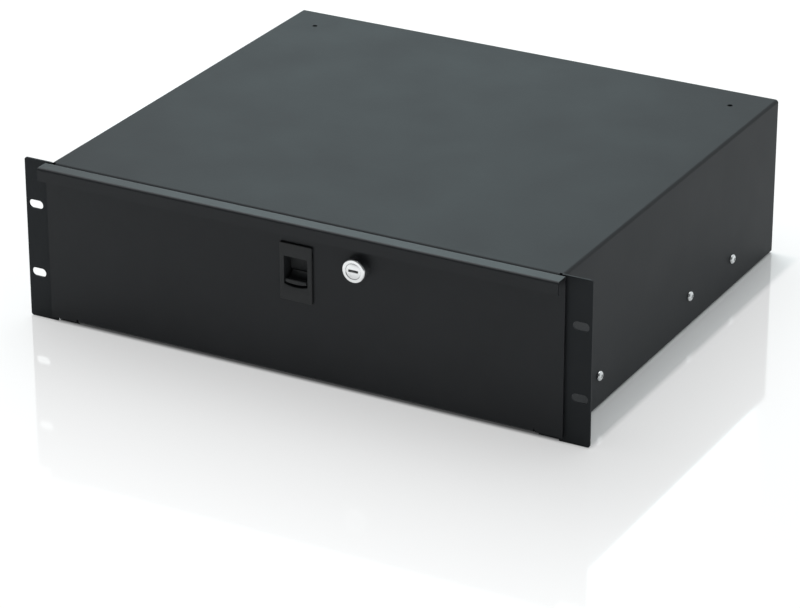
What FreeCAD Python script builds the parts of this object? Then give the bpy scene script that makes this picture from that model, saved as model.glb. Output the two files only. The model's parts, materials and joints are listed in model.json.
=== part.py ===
import FreeCAD, Part
import math
import os

import Sketcher
from FreeCAD import Placement, Rotation, Vector

# A lockable drawer, three rack units high, for a 19-inch rack. A sheet-steel housing with rack ears
# carries a full-extension drawer on two ball-bearing slides. The drawer's front has a pull lip along
# its top, a finger latch in the middle and a cam lock beside it.
#
# X runs to the right, Y runs back into the rack and Z runs up. The origin is in the middle of the four
# rack slots, on the rear face of the ears, which is the face that meets the rack's rails.

# Driving sizes, in millimetres.
SIZES = {
    # rack ears
    "rack_width": 482.6,           # over both ears
    "panel_height": 132.5,         # three rack units, less the gap between panels
    "slot_inset": 8.75,            # slot centres from the ear's edge
    "slot_pitch": 57.15,
    "slot_width": 7.0,
    "slot_length": 13.0,
    "ear_corner": 2.0,
    # housing
    "sheet": 1.5,
    "bend_radius": 1.0,            # inside of a bend
    "crease": 0.1,                 # left flat where a rounded bend meets a thin edge
    "ear_reach": 23.3,             # ears beyond the housing's sides
    "housing_depth": 383.0,
    "cover_drop": 0.5,             # top cover below the top of the ears
    "bottom_flange": 19.0,
    "front_flange": 14.0,
    "rear_flange": 14.0,
    "flange_end": 2.0,             # flanges stop short of the bends
    "flange_rise": 3.0,            # side flanges above the slides
    "corner_play": 0.3,            # a plate's rounded corners inside a bend
    "rear_hole_side": 29.0,        # from the housing's sides
    "rear_hole_inset": 29.0,       # from the back
    "rear_hole_width": 4.3,
    # keeper for the latch bolt and the lock cam, under the cover
    "keeper_left": 30.0,
    "keeper_past_cam": 3.0,
    "keeper_set_back": 9.0,
    "keeper_leg": 22.0,
    "keeper_drop": 15.75,
    # ball-bearing slides
    "slide_front": 26.0,
    "slide_rear_gap": 5.5,
    "slide_height": 45.0,
    "slide_thickness": 12.7,
    "slide_rise": 26.25,           # centre line of the slides above the ears' foot
    "slide_sheet": 1.2,
    "middle_sheet": 1.0,
    "outer_reach": 9.2,
    "outer_lip": 3.2,
    "middle_reach": 8.2,
    "middle_lip": 3.0,
    "inner_reach": 7.5,
    "web_gap": 1.0,                # between the webs of the outer and middle members
    "large_ball": 3.2,
    "small_ball": 2.8,
    "ball_play": 0.1,
    "cage_sheet": 0.5,
    "cage_length": 164.0,
    "cage_arm": 5.2,
    "screw_first": 35.0,           # screws of the fixed members, from the slide's front end
    "screw_second": 195.0,
    "screw_third": 275.0,
    # screws
    "screw_width": 4.0,
    "screw_head": 8.0,
    "screw_head_height": 2.6,
    "low_head": 7.0,
    "low_head_height": 1.4,
    "head_edge": 0.8,
    "hole_play": 0.2,
    "thread_play": 0.05,
    # drawer tray
    "tray_sheet": 1.2,
    "tray_gap": 4.5,               # between the tray and the rear panel
    "wall_drop": 20.25,            # top of the tray's sides below the top of the ears
    "wall_return": 9.0,
    "front_wall_drop": 16.25,
    "back_flange": 16.0,
    "rivet_width": 3.2,
    "rivet_head": 6.4,
    "rivet_tail": 5.1,
    "rivet_head_height": 1.1,
    "rivet_rise": 11.5,            # lower rivets above the slides
    "rivet_drop": 14.0,            # upper rivets below the tops of the tray's sides
    # drawer front
    "front_overhang": 2.5,         # beyond the housing's sides
    "front_gap": 1.0,              # between the ears and the drawer front
    "front_drop": 0.05,            # top of the drawer front below the top of the ears
    "front_rise": 2.75,            # foot of the drawer front above the foot of the ears
    "lip_reach": 11.8,
    "lip_height": 10.5,
    "lip_radius": 0.5,
    "foot_depth": 14.5,
    "foot_clearance": 2.5,         # beside the foot, to the housing's bottom flanges
    "relief_width": 1.5,           # notch beside the bend of the foot
    "relief_rise": 0.5,            # notch above that bend
    "corner_rise": 0.9,            # flat corners above the foot
    "stud_inset": 68.0,            # from the housing's sides
    "stud_rise": 21.25,            # lower studs above the ears' foot
    "stud_drop": 34.25,            # upper studs below the top of the ears
    "stud_length": 7.0,
    "nut_width": 7.0,
    "nut_height": 3.2,
    # finger latch
    "latch_drop": 44.05,           # middle of the latch below the top of the ears
    "bezel_width": 27.5,
    "bezel_height": 46.2,
    "bezel_thickness": 2.0,
    "bezel_round": 0.8,
    "latch_body_width": 24.0,
    "latch_body_height": 42.0,
    "latch_body_depth": 21.5,      # behind the face of the drawer front
    "latch_fit": 0.15,
    "latch_wall": 2.2,
    "barb": 0.7,
    "barb_width": 8.0,
    "barb_length": 3.0,
    "window_width": 20.0,
    "window_low": -10.2,           # from the latch's centre
    "window_high": 12.3,
    "window_sag": 1.6,
    "window_depth": 10.5,
    "latch_travel": 4.0,
    "slider_play": 0.3,
    "slider_plate": 2.5,
    "slider_rest": 1.7,            # tab above the window's lower edge
    "tab_thickness": 1.8,
    "tab_height": 2.5,
    "tab_front": 1.8,
    "tab_recess": 0.2,
    "tab_round": 0.7,
    "tab_inset": 1.2,
    "tab_sag": 0.9,
    "plate_play": 0.5,
    "bolt_width": 14.0,
    "bolt_depth": 4.9,
    "bolt_length": 18.0,
    "bolt_bevel": 4.5,
    "bolt_tip": 0.8,
    "bolt_clearance": 0.6,         # under the keeper while the bolt is drawn back
    "keeper_gap": 0.5,             # behind the keeper
    "chamber_floor": 1.8,
    "spring_room": 7.0,
    "spring_width": 4.0,
    "spring_wire": 0.5,
    "spring_turns": 4.0,
    # cam lock
    "lock_across": 52.0,
    "lock_drop": 29.25,            # middle of the lock below the top of the ears
    "lock_head": 20.0,
    "lock_head_height": 8.0,
    "lock_head_edge": 1.4,
    "lock_barrel": 18.0,
    "lock_barrel_length": 15.0,
    "plug_width": 12.5,
    "plug_play": 0.05,
    "plug_recess": 0.3,
    "keyway_width": 8.2,
    "keyway_height": 1.8,
    "keyway_depth": 7.0,
    "lock_nut_width": 22.0,
    "lock_nut_height": 3.5,
    "cam_gap": 0.3,
    "cam_sheet": 2.0,
    "cam_hub": 8.0,
    "cam_tip": 23.0,
    "cam_width": 14.0,
    "cam_round": 3.5,
    "tail_width": 6.0,
    "tail_play": 0.05,
    "tail_recess": 0.1,            # tail ends inside the cam
    "cam_screw_depth": 7.0,
    "screw_room": 0.2,             # past the screw's end
    # rubber bumpers behind the tray
    "bumper_width": 12.0,
    "bumper_inset": 68.0,          # from the housing's sides
    "bumper_rise": 5.5,            # above the slides
    "bumper_play": 0.3,
}

BALLS_PER_ROW = 5
BALL_SIDES = 8
BALL_RINGS = (-67.5, -22.5, 22.5, 67.5)  # latitudes, in degrees

doc = FreeCAD.newDocument("RackDrawer")
sheet = doc.addObject("Spreadsheet::Sheet", "Sizes")
for row, (name, value) in enumerate(SIZES.items(), 1):
    sheet.set(f"A{row}", name)
    sheet.set(f"B{row}", str(value))
    sheet.setAlias(f"B{row}", name)
doc.recompute()


class Length:
    """A length together with the spreadsheet expression that gives it."""

    def __init__(self, text, value):
        self.text = text
        self.value = value

    def __add__(self, other):
        other = length(other)
        return Length(f"({self.text} + {other.text})", self.value + other.value)

    def __sub__(self, other):
        other = length(other)
        return Length(f"({self.text} - {other.text})", self.value - other.value)

    def __mul__(self, factor):
        factor = length(factor)
        return Length(f"{self.text} * {factor.text}", self.value * factor.value)

    def __truediv__(self, divisor):
        divisor = length(divisor)
        return Length(f"{self.text} / {divisor.text}", self.value / divisor.value)

    def __radd__(self, other):
        return length(other) + self

    def __rsub__(self, other):
        return length(other) - self

    def __rmul__(self, factor):
        return length(factor) * self

    def __neg__(self):
        return Length(f"(-1 * {self.text})", -self.value)


def length(number):
    if isinstance(number, Length):
        return number
    return Length(f"({float(number)})", float(number))


class SheetSizes:
    """The spreadsheet's cells, by alias."""

    def __getattr__(self, alias):
        return Length(f"Sizes.{alias}", float(sheet.get(alias)))


size = SheetSizes()

# Places that several pieces share.
ear_top = size.panel_height / 2
ear_foot = -size.panel_height / 2
ear_edge = size.rack_width / 2
ear_front = -size.sheet
outer_bend = size.bend_radius + size.sheet

housing_side = ear_edge - size.ear_reach
housing_inside = housing_side - size.sheet
cover_top = ear_top - size.cover_drop
cover_under = cover_top - size.sheet
flange_top = ear_foot + size.sheet
flange_edge = housing_side - size.bottom_flange
rear_inside = size.housing_depth - size.sheet

slot_places = [(x, z) for x in (size.slot_inset - ear_edge, ear_edge - size.slot_inset)
               for z in (size.slot_pitch / -2, size.slot_pitch / 2)]

keeper_rear = size.keeper_set_back + size.sheet
keeper_edge = cover_under - size.keeper_drop

slide_level = ear_foot + size.slide_rise
slide_top = slide_level + size.slide_height / 2
slide_rear = rear_inside - size.slide_rear_gap
screw_places = [size.slide_front + place for place in (size.screw_first, size.screw_second, size.screw_third)]

face_back = ear_front - size.front_gap
face_front = face_back - size.sheet
front_side = housing_side + size.front_overhang
front_top = ear_top - size.front_drop
front_foot = ear_foot + size.front_rise
foot_side = flange_edge - size.foot_clearance

tray_side = housing_inside - size.slide_thickness
tray_inside = tray_side - size.tray_sheet
tray_floor = front_foot + size.sheet
tray_floor_top = tray_floor + size.tray_sheet
front_wall_back = face_back + size.tray_sheet
tray_rear = rear_inside - size.tray_gap
wall_top = ear_top - size.wall_drop

bezel_front = face_front - size.bezel_thickness
latch_level = ear_top - size.latch_drop
latch_side = size.latch_body_width / 2
latch_low = latch_level - size.latch_body_height / 2
latch_high = latch_level + size.latch_body_height / 2
latch_back = face_front + size.latch_body_depth

lock_level = ear_top - size.lock_drop
lock_front = face_front - size.lock_head_height
barrel_end = face_front + size.lock_barrel_length


def check(feature):
    """Stop if a feature failed to build."""
    if "Invalid" in feature.State or "Error" in feature.State:
        raise RuntimeError(f"{feature.Label} failed: {feature.State}")


def new_body(label):
    body = doc.addObject("PartDesign::Body", label)
    body.Label = label
    return body


def bind(feature, path, amount):
    feature.setExpression(path, length(amount).text)


# Shapes that a sketch is drawn with. Each takes lengths and returns the function that draws it.


def pin(sketch, geometry, point, x, y):
    """Hold one point of a sketch at x, y from the sketch's origin."""
    x = length(x)
    y = length(y)
    first, second = sketch.addConstraint([
        Sketcher.Constraint("DistanceX", -1, 1, geometry, point, x.value),
        Sketcher.Constraint("DistanceY", -1, 1, geometry, point, y.value),
    ])
    bind(sketch, f"Constraints[{first}]", x)
    bind(sketch, f"Constraints[{second}]", y)


def measure(sketch, kind, geometry, amount):
    amount = length(amount)
    number = sketch.addConstraint(Sketcher.Constraint(kind, geometry, amount.value))
    bind(sketch, f"Constraints[{number}]", amount)


def flat(x, y):
    return Vector(length(x).value, length(y).value, 0)


def outline(points):
    """A closed polygon."""
    def draw(sketch):
        ends = points[1:] + points[:1]
        lines = sketch.addGeometry([
            Part.LineSegment(flat(*start), flat(*end)) for start, end in zip(points, ends)
        ])
        following = lines[1:] + lines[:1]
        for line, next_line in zip(lines, following):
            sketch.addConstraint(Sketcher.Constraint("Coincident", line, 2, next_line, 1))
        for line, (x, y) in zip(lines, points):
            pin(sketch, line, 1, x, y)
    return draw


def rectangle(left, right, low, high):
    return outline([(left, low), (right, low), (right, high), (left, high)])


def circle(x, y, width):
    def draw(sketch):
        radius = length(width) / 2
        ring = sketch.addGeometry(Part.Circle(flat(x, y), Vector(0, 0, 1), radius.value))
        pin(sketch, ring, 3, x, y)
        measure(sketch, "Radius", ring, radius)
    return draw


def hexagon(x, y, across_flats):
    """A hexagon with flats at its top and bottom."""
    corner = length(across_flats) / math.sqrt(3)
    angles = [math.radians(60 * turn) for turn in range(6)]
    return outline([(x + corner * math.cos(angle), y + corner * math.sin(angle)) for angle in angles])


def slot(x, y, long, wide):
    """A slot with round ends, along the sketch's first axis."""
    def draw(sketch):
        radius = length(wide) / 2
        half = length(long) / 2 - radius
        right = flat(x + half, y)
        left = flat(x - half, y)
        rise = Vector(0, radius.value, 0)
        quarter = math.pi / 2
        right_end = Part.ArcOfCircle(Part.Circle(right, Vector(0, 0, 1), radius.value), -quarter, quarter)
        left_end = Part.ArcOfCircle(Part.Circle(left, Vector(0, 0, 1), radius.value), quarter, 3 * quarter)
        parts = sketch.addGeometry([
            right_end, Part.LineSegment(right + rise, left + rise),
            left_end, Part.LineSegment(left - rise, right - rise),
        ])
        for part, next_part in zip(parts, parts[1:] + parts[:1]):
            sketch.addConstraint(Sketcher.Constraint("Tangent", part, 2, next_part, 1))
        pin(sketch, parts[0], 3, x + half, y)
        pin(sketch, parts[2], 3, x - half, y)
        measure(sketch, "Radius", parts[0], radius)
        measure(sketch, "Radius", parts[2], radius)
    return draw


def bowl(half_width, level, sag):
    """A segment of a circle that hangs below a level chord, centred on the sketch's second axis."""
    def draw(sketch):
        radius = (half_width * half_width / sag + sag) / 2
        left = flat(-half_width, level)
        right = flat(half_width, level)
        bottom = flat(0, level - sag)
        chord = sketch.addGeometry(Part.LineSegment(right, left))
        arc = sketch.addGeometry(Part.Arc(left, bottom, right))
        sketch.addConstraint(Sketcher.Constraint("Coincident", chord, 2, arc, 1))
        sketch.addConstraint(Sketcher.Constraint("Coincident", arc, 2, chord, 1))
        pin(sketch, chord, 1, half_width, level)
        pin(sketch, chord, 2, -half_width, level)
        measure(sketch, "Radius", arc, radius)
    return draw


# Which way a sketch on each plane faces: along its axis, or against it.
FACING = {"YZ_Plane": 1, "XZ_Plane": -1, "XY_Plane": 1}


def place_sketch(body, plane, station):
    """A sketch on one of the body's own planes, moved along that plane's axis to a station."""
    sketch = body.newObject("Sketcher::SketchObject", f"{body.Label}_sketch")
    origin_plane = next(item for item in body.Origin.OriginFeatures if item.Role == plane)
    sketch.AttachmentSupport = [(origin_plane, "")]
    sketch.MapMode = "FlatFace"
    offset = length(station) * FACING[plane]
    sketch.AttachmentOffset = Placement(Vector(0, 0, offset.value), Rotation())
    bind(sketch, "AttachmentOffset.Base.z", offset)
    return sketch


def extrude(body, kind, plane, start, end, shapes):
    """A pad or pocket between two stations along the plane's axis, the lower station first."""
    sketch = place_sketch(body, plane, start)
    for draw in shapes:
        draw(sketch)
    feature = body.newObject(f"PartDesign::{kind}", f"{body.Label}_{kind.lower()}")
    feature.Profile = sketch
    bind(feature, "Length", length(end) - length(start))
    forward = FACING[plane] > 0
    feature.Reversed = forward if kind == "Pocket" else not forward
    doc.recompute()
    check(sketch)
    check(feature)
    return feature


def pad(body, plane, start, end, *shapes):
    return extrude(body, "Pad", plane, start, end, shapes)


def pocket(body, plane, start, end, *shapes):
    before = body.Shape.Volume
    feature = extrude(body, "Pocket", plane, start, end, shapes)
    if body.Shape.Volume >= before:
        raise RuntimeError(f"{feature.Label} cut nothing")
    return feature


def repeat(body, features, direction, span, count):
    """Copies of some features in a row, the first and last a span apart."""
    pattern = body.newObject("PartDesign::LinearPattern", f"{body.Label}_pattern")
    pattern.Originals = features
    axis = next(item for item in body.Origin.OriginFeatures if item.Role == direction)
    pattern.Direction = (axis, [""])
    bind(pattern, "Length", span)
    pattern.Occurrences = count
    body.Tip = pattern
    doc.recompute()
    check(pattern)
    return pattern


def edges_at(shape, x=None, y=None, z=None):
    """Names of the edges whose ends all lie at the given coordinates."""
    wanted = {"x": x, "y": y, "z": z}
    places = {axis: length(place).value for axis, place in wanted.items() if place is not None}
    names = []
    for number, edge in enumerate(shape.Edges, 1):
        ends = [vertex.Point for vertex in edge.Vertexes]
        if all(abs(getattr(end, axis) - place) < 0.001 for end in ends for axis, place in places.items()):
            names.append(f"Edge{number}")
    return names


def dress(body, kind, radius, places):
    """Fillet or chamfer the edges at the given places."""
    base = body.Tip
    names = []
    for place in places:
        names += [name for name in edges_at(base.Shape, **place) if name not in names]
    if not names:
        raise RuntimeError(f"{body.Label} has no edges to {kind.lower()}")
    feature = body.newObject(f"PartDesign::{kind}", f"{body.Label}_{kind.lower()}")
    feature.Base = (base, names)
    bind(feature, "Radius" if kind == "Fillet" else "Size", radius)
    doc.recompute()
    check(feature)
    return feature


def fillet(body, radius, *places):
    return dress(body, "Fillet", radius, places)


def chamfer(body, amount, *places):
    return dress(body, "Chamfer", amount, places)


def both_sides(distance):
    return (-distance, distance)


# Housing


def housing_shell():
    """Cover, sides, bottom flanges and rack ears, folded from one sheet."""
    body = new_body("housing_shell")
    flange_low = cover_top - size.front_flange
    flange_side = housing_inside - outer_bend
    fold = ear_front + outer_bend
    pad(body, "YZ_Plane", -flange_side, flange_side, outline([
        (ear_front, flange_low), (0, flange_low), (0, cover_under),
        (fold, cover_under), (fold, cover_top), (ear_front, cover_top),
    ]))
    fillet(body, outer_bend - size.crease, {"y": ear_front, "z": cover_top})
    fillet(body, size.bend_radius - size.crease, {"y": 0, "z": cover_under})
    pad(body, "XZ_Plane", fold, size.housing_depth, outline([
        (-flange_edge, ear_foot), (-housing_side, ear_foot),
        (-housing_side, cover_top), (housing_side, cover_top),
        (housing_side, ear_foot), (flange_edge, ear_foot),
        (flange_edge, flange_top), (housing_inside, flange_top),
        (housing_inside, cover_under), (-housing_inside, cover_under),
        (-housing_inside, flange_top), (-flange_edge, flange_top),
    ]))
    outside = [{"x": x, "z": z} for x in both_sides(housing_side) for z in (ear_foot, cover_top)]
    inside = [{"x": x, "z": z} for x in both_sides(housing_inside) for z in (flange_top, cover_under)]
    fillet(body, outer_bend, *outside)
    fillet(body, size.bend_radius, *inside)
    fold_low = ear_foot + outer_bend
    fold_high = cover_top - outer_bend
    pad(body, "XZ_Plane", 0, fold,
        rectangle(housing_inside, housing_side, fold_low, fold_high),
        rectangle(-housing_side, -housing_inside, fold_low, fold_high))
    pad(body, "XZ_Plane", ear_front, 0,
        rectangle(housing_inside, ear_edge, ear_foot, ear_top),
        rectangle(-ear_edge, -housing_inside, ear_foot, ear_top))
    ear_corners = [{"x": x, "z": z} for x in both_sides(ear_edge) for z in (ear_foot, ear_top)]
    fillet(body, size.ear_corner, *ear_corners)
    slots = [slot(x, z, size.slot_length, size.slot_width) for x, z in slot_places]
    pocket(body, "XZ_Plane", ear_front, 0, *slots)
    pocket(body, "XY_Plane", cover_under, cover_top, *[
        circle(x, size.housing_depth - size.rear_hole_inset, size.rear_hole_width)
        for x in both_sides(housing_side - size.rear_hole_side)
    ])
    holes = [circle(y, slide_level, size.screw_width + 2 * size.hole_play) for y in screw_places]
    pocket(body, "YZ_Plane", housing_inside, housing_side, *holes)
    pocket(body, "YZ_Plane", -housing_side, -housing_inside, *holes)


def rear_panel():
    """Plate that closes the back, with flanges welded inside the housing."""
    body = new_body("rear_panel")
    pad(body, "XZ_Plane", rear_inside, size.housing_depth,
        rectangle(-housing_inside, housing_inside, flange_top, cover_under))
    fillet(body, size.bend_radius + size.corner_play, *[
        {"x": x, "z": z} for x in both_sides(housing_inside) for z in (flange_top, cover_under)])
    side_low = slide_top + size.flange_rise
    side_high = cover_under - outer_bend - size.flange_end
    flange_front = rear_inside - size.rear_flange
    flange_side = housing_inside - outer_bend - size.flange_end
    inner_face = housing_inside - size.sheet
    pad(body, "XZ_Plane", flange_front, rear_inside,
        rectangle(inner_face, housing_inside, side_low, side_high),
        rectangle(-housing_inside, -inner_face, side_low, side_high),
        rectangle(-flange_side, flange_side, cover_under - size.sheet, cover_under))


def keeper_angle():
    """Angle under the cover that the latch bolt and the lock cam catch behind."""
    body = new_body("keeper_angle")
    leg_end = size.keeper_set_back + size.keeper_leg
    right_end = size.lock_across + size.cam_tip + size.keeper_past_cam
    pad(body, "YZ_Plane", -size.keeper_left, right_end, outline([
        (size.keeper_set_back, keeper_edge), (keeper_rear, keeper_edge),
        (keeper_rear, cover_under - size.sheet), (leg_end, cover_under - size.sheet),
        (leg_end, cover_under), (size.keeper_set_back, cover_under),
    ]))
    fillet(body, outer_bend, {"y": size.keeper_set_back, "z": cover_under})
    fillet(body, size.bend_radius, {"y": keeper_rear, "z": cover_under - size.sheet})


def rear_bumpers():
    """Rubber bumpers on the rear panel, just behind the closed drawer."""
    body = new_body("rear_bumpers")
    pad(body, "XZ_Plane", tray_rear + size.bumper_play, rear_inside, *[
        circle(x, slide_top + size.bumper_rise, size.bumper_width)
        for x in both_sides(housing_side - size.bumper_inset)
    ])


# Slides. Across a slide, distances run from the housing's wall towards the drawer, and up and down from
# the slide's centre line.

outer_half = size.slide_height / 2
middle_web = size.slide_sheet + size.web_gap
middle_half = outer_half - size.slide_sheet - size.large_ball - 2 * size.ball_play
inner_half = middle_half - size.middle_sheet - size.small_ball - 2 * size.ball_play
middle_end = middle_web + size.middle_reach
inner_start = size.slide_thickness - size.inner_reach
outer_ball_row = outer_half - size.slide_sheet - size.ball_play - size.large_ball / 2
inner_ball_row = middle_half - size.middle_sheet - size.ball_play - size.small_ball / 2


def across(side, distance):
    """Place a distance from the housing's wall on the right (1) or left (-1) side."""
    return side * (housing_inside - distance)


def stations(side, near, far):
    """Two distances from the middle of the drawer, as stations on the right (1) or left (-1) side."""
    return (near, far) if side > 0 else (-far, -near)


def channel(side, web, reach, half, thickness, lip):
    """A C-shaped member, open towards the drawer, with lips that keep the balls in."""
    end = web + reach
    inner_web = web + thickness
    section = [
        (web, -half), (end, -half), (end, lip - half), (end - thickness, lip - half),
        (end - thickness, thickness - half), (inner_web, thickness - half),
        (inner_web, half - thickness), (end - thickness, half - thickness),
        (end - thickness, half - lip), (end, half - lip), (end, half), (web, half),
    ]
    return outline([(across(side, u), slide_level + v) for u, v in section])


def slide_outer(side, hand):
    body = new_body(f"slide_outer_{hand}")
    pad(body, "XZ_Plane", size.slide_front, slide_rear,
        channel(side, length(0), size.outer_reach, outer_half, size.slide_sheet, size.outer_lip))
    corners = [{"x": across(side, u), "z": slide_level + v}
               for u in (length(0), size.outer_reach) for v in both_sides(outer_half)]
    fillet(body, size.slide_sheet, *corners)
    pocket(body, "YZ_Plane", *stations(side, housing_inside - size.slide_sheet, housing_inside), *[
        circle(y, slide_level, size.screw_width + 2 * size.thread_play) for y in screw_places
    ])


def slide_middle(side, hand):
    body = new_body(f"slide_middle_{hand}")
    pad(body, "XZ_Plane", size.slide_front, slide_rear,
        channel(side, middle_web, size.middle_reach, middle_half, size.middle_sheet, size.middle_lip))
    corners = [{"x": across(side, u), "z": slide_level + v}
               for u in (middle_web, middle_end) for v in both_sides(middle_half)]
    fillet(body, size.middle_sheet - size.crease, *corners)


inner_screw_places = [size.slide_front + size.screw_first, size.slide_front + size.screw_second,
                      slide_rear - size.screw_first]


def slide_inner(side, hand):
    """The drawer's own member, open towards the housing's wall."""
    body = new_body(f"slide_inner_{hand}")
    end = size.slide_thickness
    web = end - size.slide_sheet
    section = [
        (end, -inner_half), (end, inner_half), (inner_start, inner_half),
        (inner_start, inner_half - size.slide_sheet), (web, inner_half - size.slide_sheet),
        (web, size.slide_sheet - inner_half), (inner_start, size.slide_sheet - inner_half),
        (inner_start, -inner_half),
    ]
    pad(body, "XZ_Plane", size.slide_front, slide_rear,
        outline([(across(side, u), slide_level + v) for u, v in section]))
    fillet(body, size.slide_sheet, *[
        {"x": across(side, end), "z": slide_level + v} for v in both_sides(inner_half)])
    pocket(body, "YZ_Plane", *stations(side, tray_side, tray_side + size.slide_sheet), *[
        circle(y, slide_level, size.screw_width + 2 * size.thread_play) for y in inner_screw_places
    ])


def ball(body, x, y, z, width):
    """A ball with flats, lofted through rings."""
    radius = width / 2
    rings = []
    for latitude in BALL_RINGS:
        turn = math.radians(latitude)
        ring = radius * math.cos(turn)
        angles = [math.tau * side / BALL_SIDES for side in range(BALL_SIDES)]
        sketch = place_sketch(body, "XY_Plane", z + radius * math.sin(turn))
        outline([(x + ring * math.cos(angle), y + ring * math.sin(angle)) for angle in angles])(sketch)
        rings.append(sketch)
    doc.recompute()
    loft = body.newObject("PartDesign::AdditiveLoft", f"{body.Label}_ball")
    loft.Profile = rings[0]
    loft.Sections = rings[1:]
    loft.Ruled = True
    doc.recompute()
    check(loft)
    return loft


def ball_cage(label, side, web, ball_row, ball_width):
    """A bent strip with an arm above and below, and a row of balls in each arm."""
    body = new_body(label)
    half_sheet = size.cage_sheet / 2
    arm_end = web + size.cage_arm
    middle = (size.slide_front + slide_rear) / 2
    start = middle - size.cage_length / 2
    section = [
        (web, -ball_row - half_sheet), (arm_end, -ball_row - half_sheet),
        (arm_end, half_sheet - ball_row), (web + size.cage_sheet, half_sheet - ball_row),
        (web + size.cage_sheet, ball_row - half_sheet), (arm_end, ball_row - half_sheet),
        (arm_end, ball_row + half_sheet), (web, ball_row + half_sheet),
    ]
    pad(body, "XZ_Plane", start, start + size.cage_length,
        outline([(across(side, u), slide_level + v) for u, v in section]))
    x = across(side, arm_end - ball_width / 2 - half_sheet)
    y = start + ball_width
    balls = [ball(body, x, y, slide_level + row, ball_width) for row in both_sides(ball_row)]
    repeat(body, balls, "Y_Axis", size.cage_length - 2 * ball_width, BALLS_PER_ROW)


def slide_screws(side, hand):
    """Pan-head screws through the housing's side into the fixed member."""
    body = new_body(f"slide_screws_{hand}")
    head = housing_side + size.screw_head_height
    tip = housing_inside - size.slide_sheet
    pad(body, "YZ_Plane", *stations(side, housing_side, head),
        *[circle(y, slide_level, size.screw_head) for y in screw_places])
    chamfer(body, size.head_edge, {"x": side * head})
    pad(body, "YZ_Plane", *stations(side, tip, housing_side),
        *[circle(y, slide_level, size.screw_width) for y in screw_places])


def slide_inner_screws(side, hand):
    """Low-head screws from inside the tray into the drawer's member."""
    body = new_body(f"slide_inner_screws_{hand}")
    head = tray_inside - size.low_head_height
    tip = tray_side + size.slide_sheet
    pad(body, "YZ_Plane", *stations(side, head, tray_inside),
        *[circle(y, slide_level, size.low_head) for y in inner_screw_places])
    pad(body, "YZ_Plane", *stations(side, tray_inside, tip),
        *[circle(y, slide_level, size.screw_width) for y in inner_screw_places])


# Drawer


def latch_opening():
    side = latch_side + size.latch_fit
    return rectangle(-side, side, latch_low - size.latch_fit, latch_high + size.latch_fit)


def lock_opening():
    return circle(size.lock_across, lock_level, size.lock_barrel + 2 * size.hole_play)


stud_places = [(x, z) for x in both_sides(housing_side - size.stud_inset)
               for z in (ear_foot + size.stud_rise, ear_top - size.stud_drop)]


def drawer_tray():
    """Floor, sides with returned tops and front wall, folded from one sheet."""
    body = new_body("drawer_tray")
    front_wall_top = ear_top - size.front_wall_drop
    under_return = wall_top - size.tray_sheet
    return_edge = tray_side - size.wall_return
    corner = size.bend_radius + size.tray_sheet
    wall_side = tray_side - corner
    fold = face_back + corner
    pad(body, "YZ_Plane", -wall_side, wall_side, outline([
        (face_back, tray_floor), (fold, tray_floor), (fold, tray_floor_top),
        (front_wall_back, tray_floor_top), (front_wall_back, front_wall_top),
        (face_back, front_wall_top),
    ]))
    fillet(body, corner - size.crease, {"y": face_back, "z": tray_floor})
    fillet(body, size.bend_radius - size.crease, {"y": front_wall_back, "z": tray_floor_top})
    pad(body, "XZ_Plane", fold, tray_rear, outline([
        (-tray_side, tray_floor), (tray_side, tray_floor),
        (tray_side, wall_top), (return_edge, wall_top),
        (return_edge, under_return), (tray_inside, under_return),
        (tray_inside, tray_floor_top), (-tray_inside, tray_floor_top),
        (-tray_inside, under_return), (-return_edge, under_return),
        (-return_edge, wall_top), (-tray_side, wall_top),
    ]))
    outside = [{"x": x, "z": z} for x in both_sides(tray_side) for z in (tray_floor, wall_top)]
    inside = [{"x": x, "z": z} for x in both_sides(tray_inside) for z in (tray_floor_top, under_return)]
    fillet(body, corner, *outside)
    fillet(body, size.bend_radius, *inside)
    pad(body, "XZ_Plane", face_back, fold,
        rectangle(tray_inside, tray_side, tray_floor + corner, wall_top - corner),
        rectangle(-tray_side, -tray_inside, tray_floor + corner, wall_top - corner))
    studs = [circle(x, z, size.screw_width + 2 * size.hole_play) for x, z in stud_places]
    pocket(body, "XZ_Plane", face_back, front_wall_back, latch_opening(), lock_opening(), *studs)
    holes = [circle(y, slide_level, size.screw_width + 2 * size.hole_play) for y in inner_screw_places]
    rivets = [circle(rivet_place, z, size.rivet_width + 2 * size.thread_play) for z in rivet_levels]
    pocket(body, "YZ_Plane", tray_inside, tray_side, *holes, *rivets)
    pocket(body, "YZ_Plane", -tray_side, -tray_inside, *holes, *rivets)


back_inside = tray_rear - size.tray_sheet
rivet_place = back_inside - size.back_flange / 2
rivet_levels = (slide_top + size.rivet_rise, wall_top - size.rivet_drop)


def drawer_back():
    """Back plate of the tray, with a flange riveted inside each side."""
    body = new_body("drawer_back")
    top = wall_top - size.tray_sheet
    pad(body, "XZ_Plane", back_inside, tray_rear,
        rectangle(-tray_inside, tray_inside, tray_floor_top, top))
    fillet(body, size.bend_radius + size.corner_play, *[
        {"x": x, "z": z} for x in both_sides(tray_inside) for z in (tray_floor_top, top)])
    flange_low = tray_floor_top + size.bend_radius + size.flange_end
    flange_high = top - size.bend_radius - size.flange_end
    flange_face = tray_inside - size.tray_sheet
    flange_front = back_inside - size.back_flange
    pad(body, "XZ_Plane", flange_front, back_inside,
        rectangle(flange_face, tray_inside, flange_low, flange_high),
        rectangle(-tray_inside, -flange_face, flange_low, flange_high))
    holes = [circle(rivet_place, z, size.rivet_width + 2 * size.thread_play) for z in rivet_levels]
    pocket(body, "YZ_Plane", flange_face, tray_inside, *holes)
    pocket(body, "YZ_Plane", -tray_inside, -flange_face, *holes)


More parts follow.
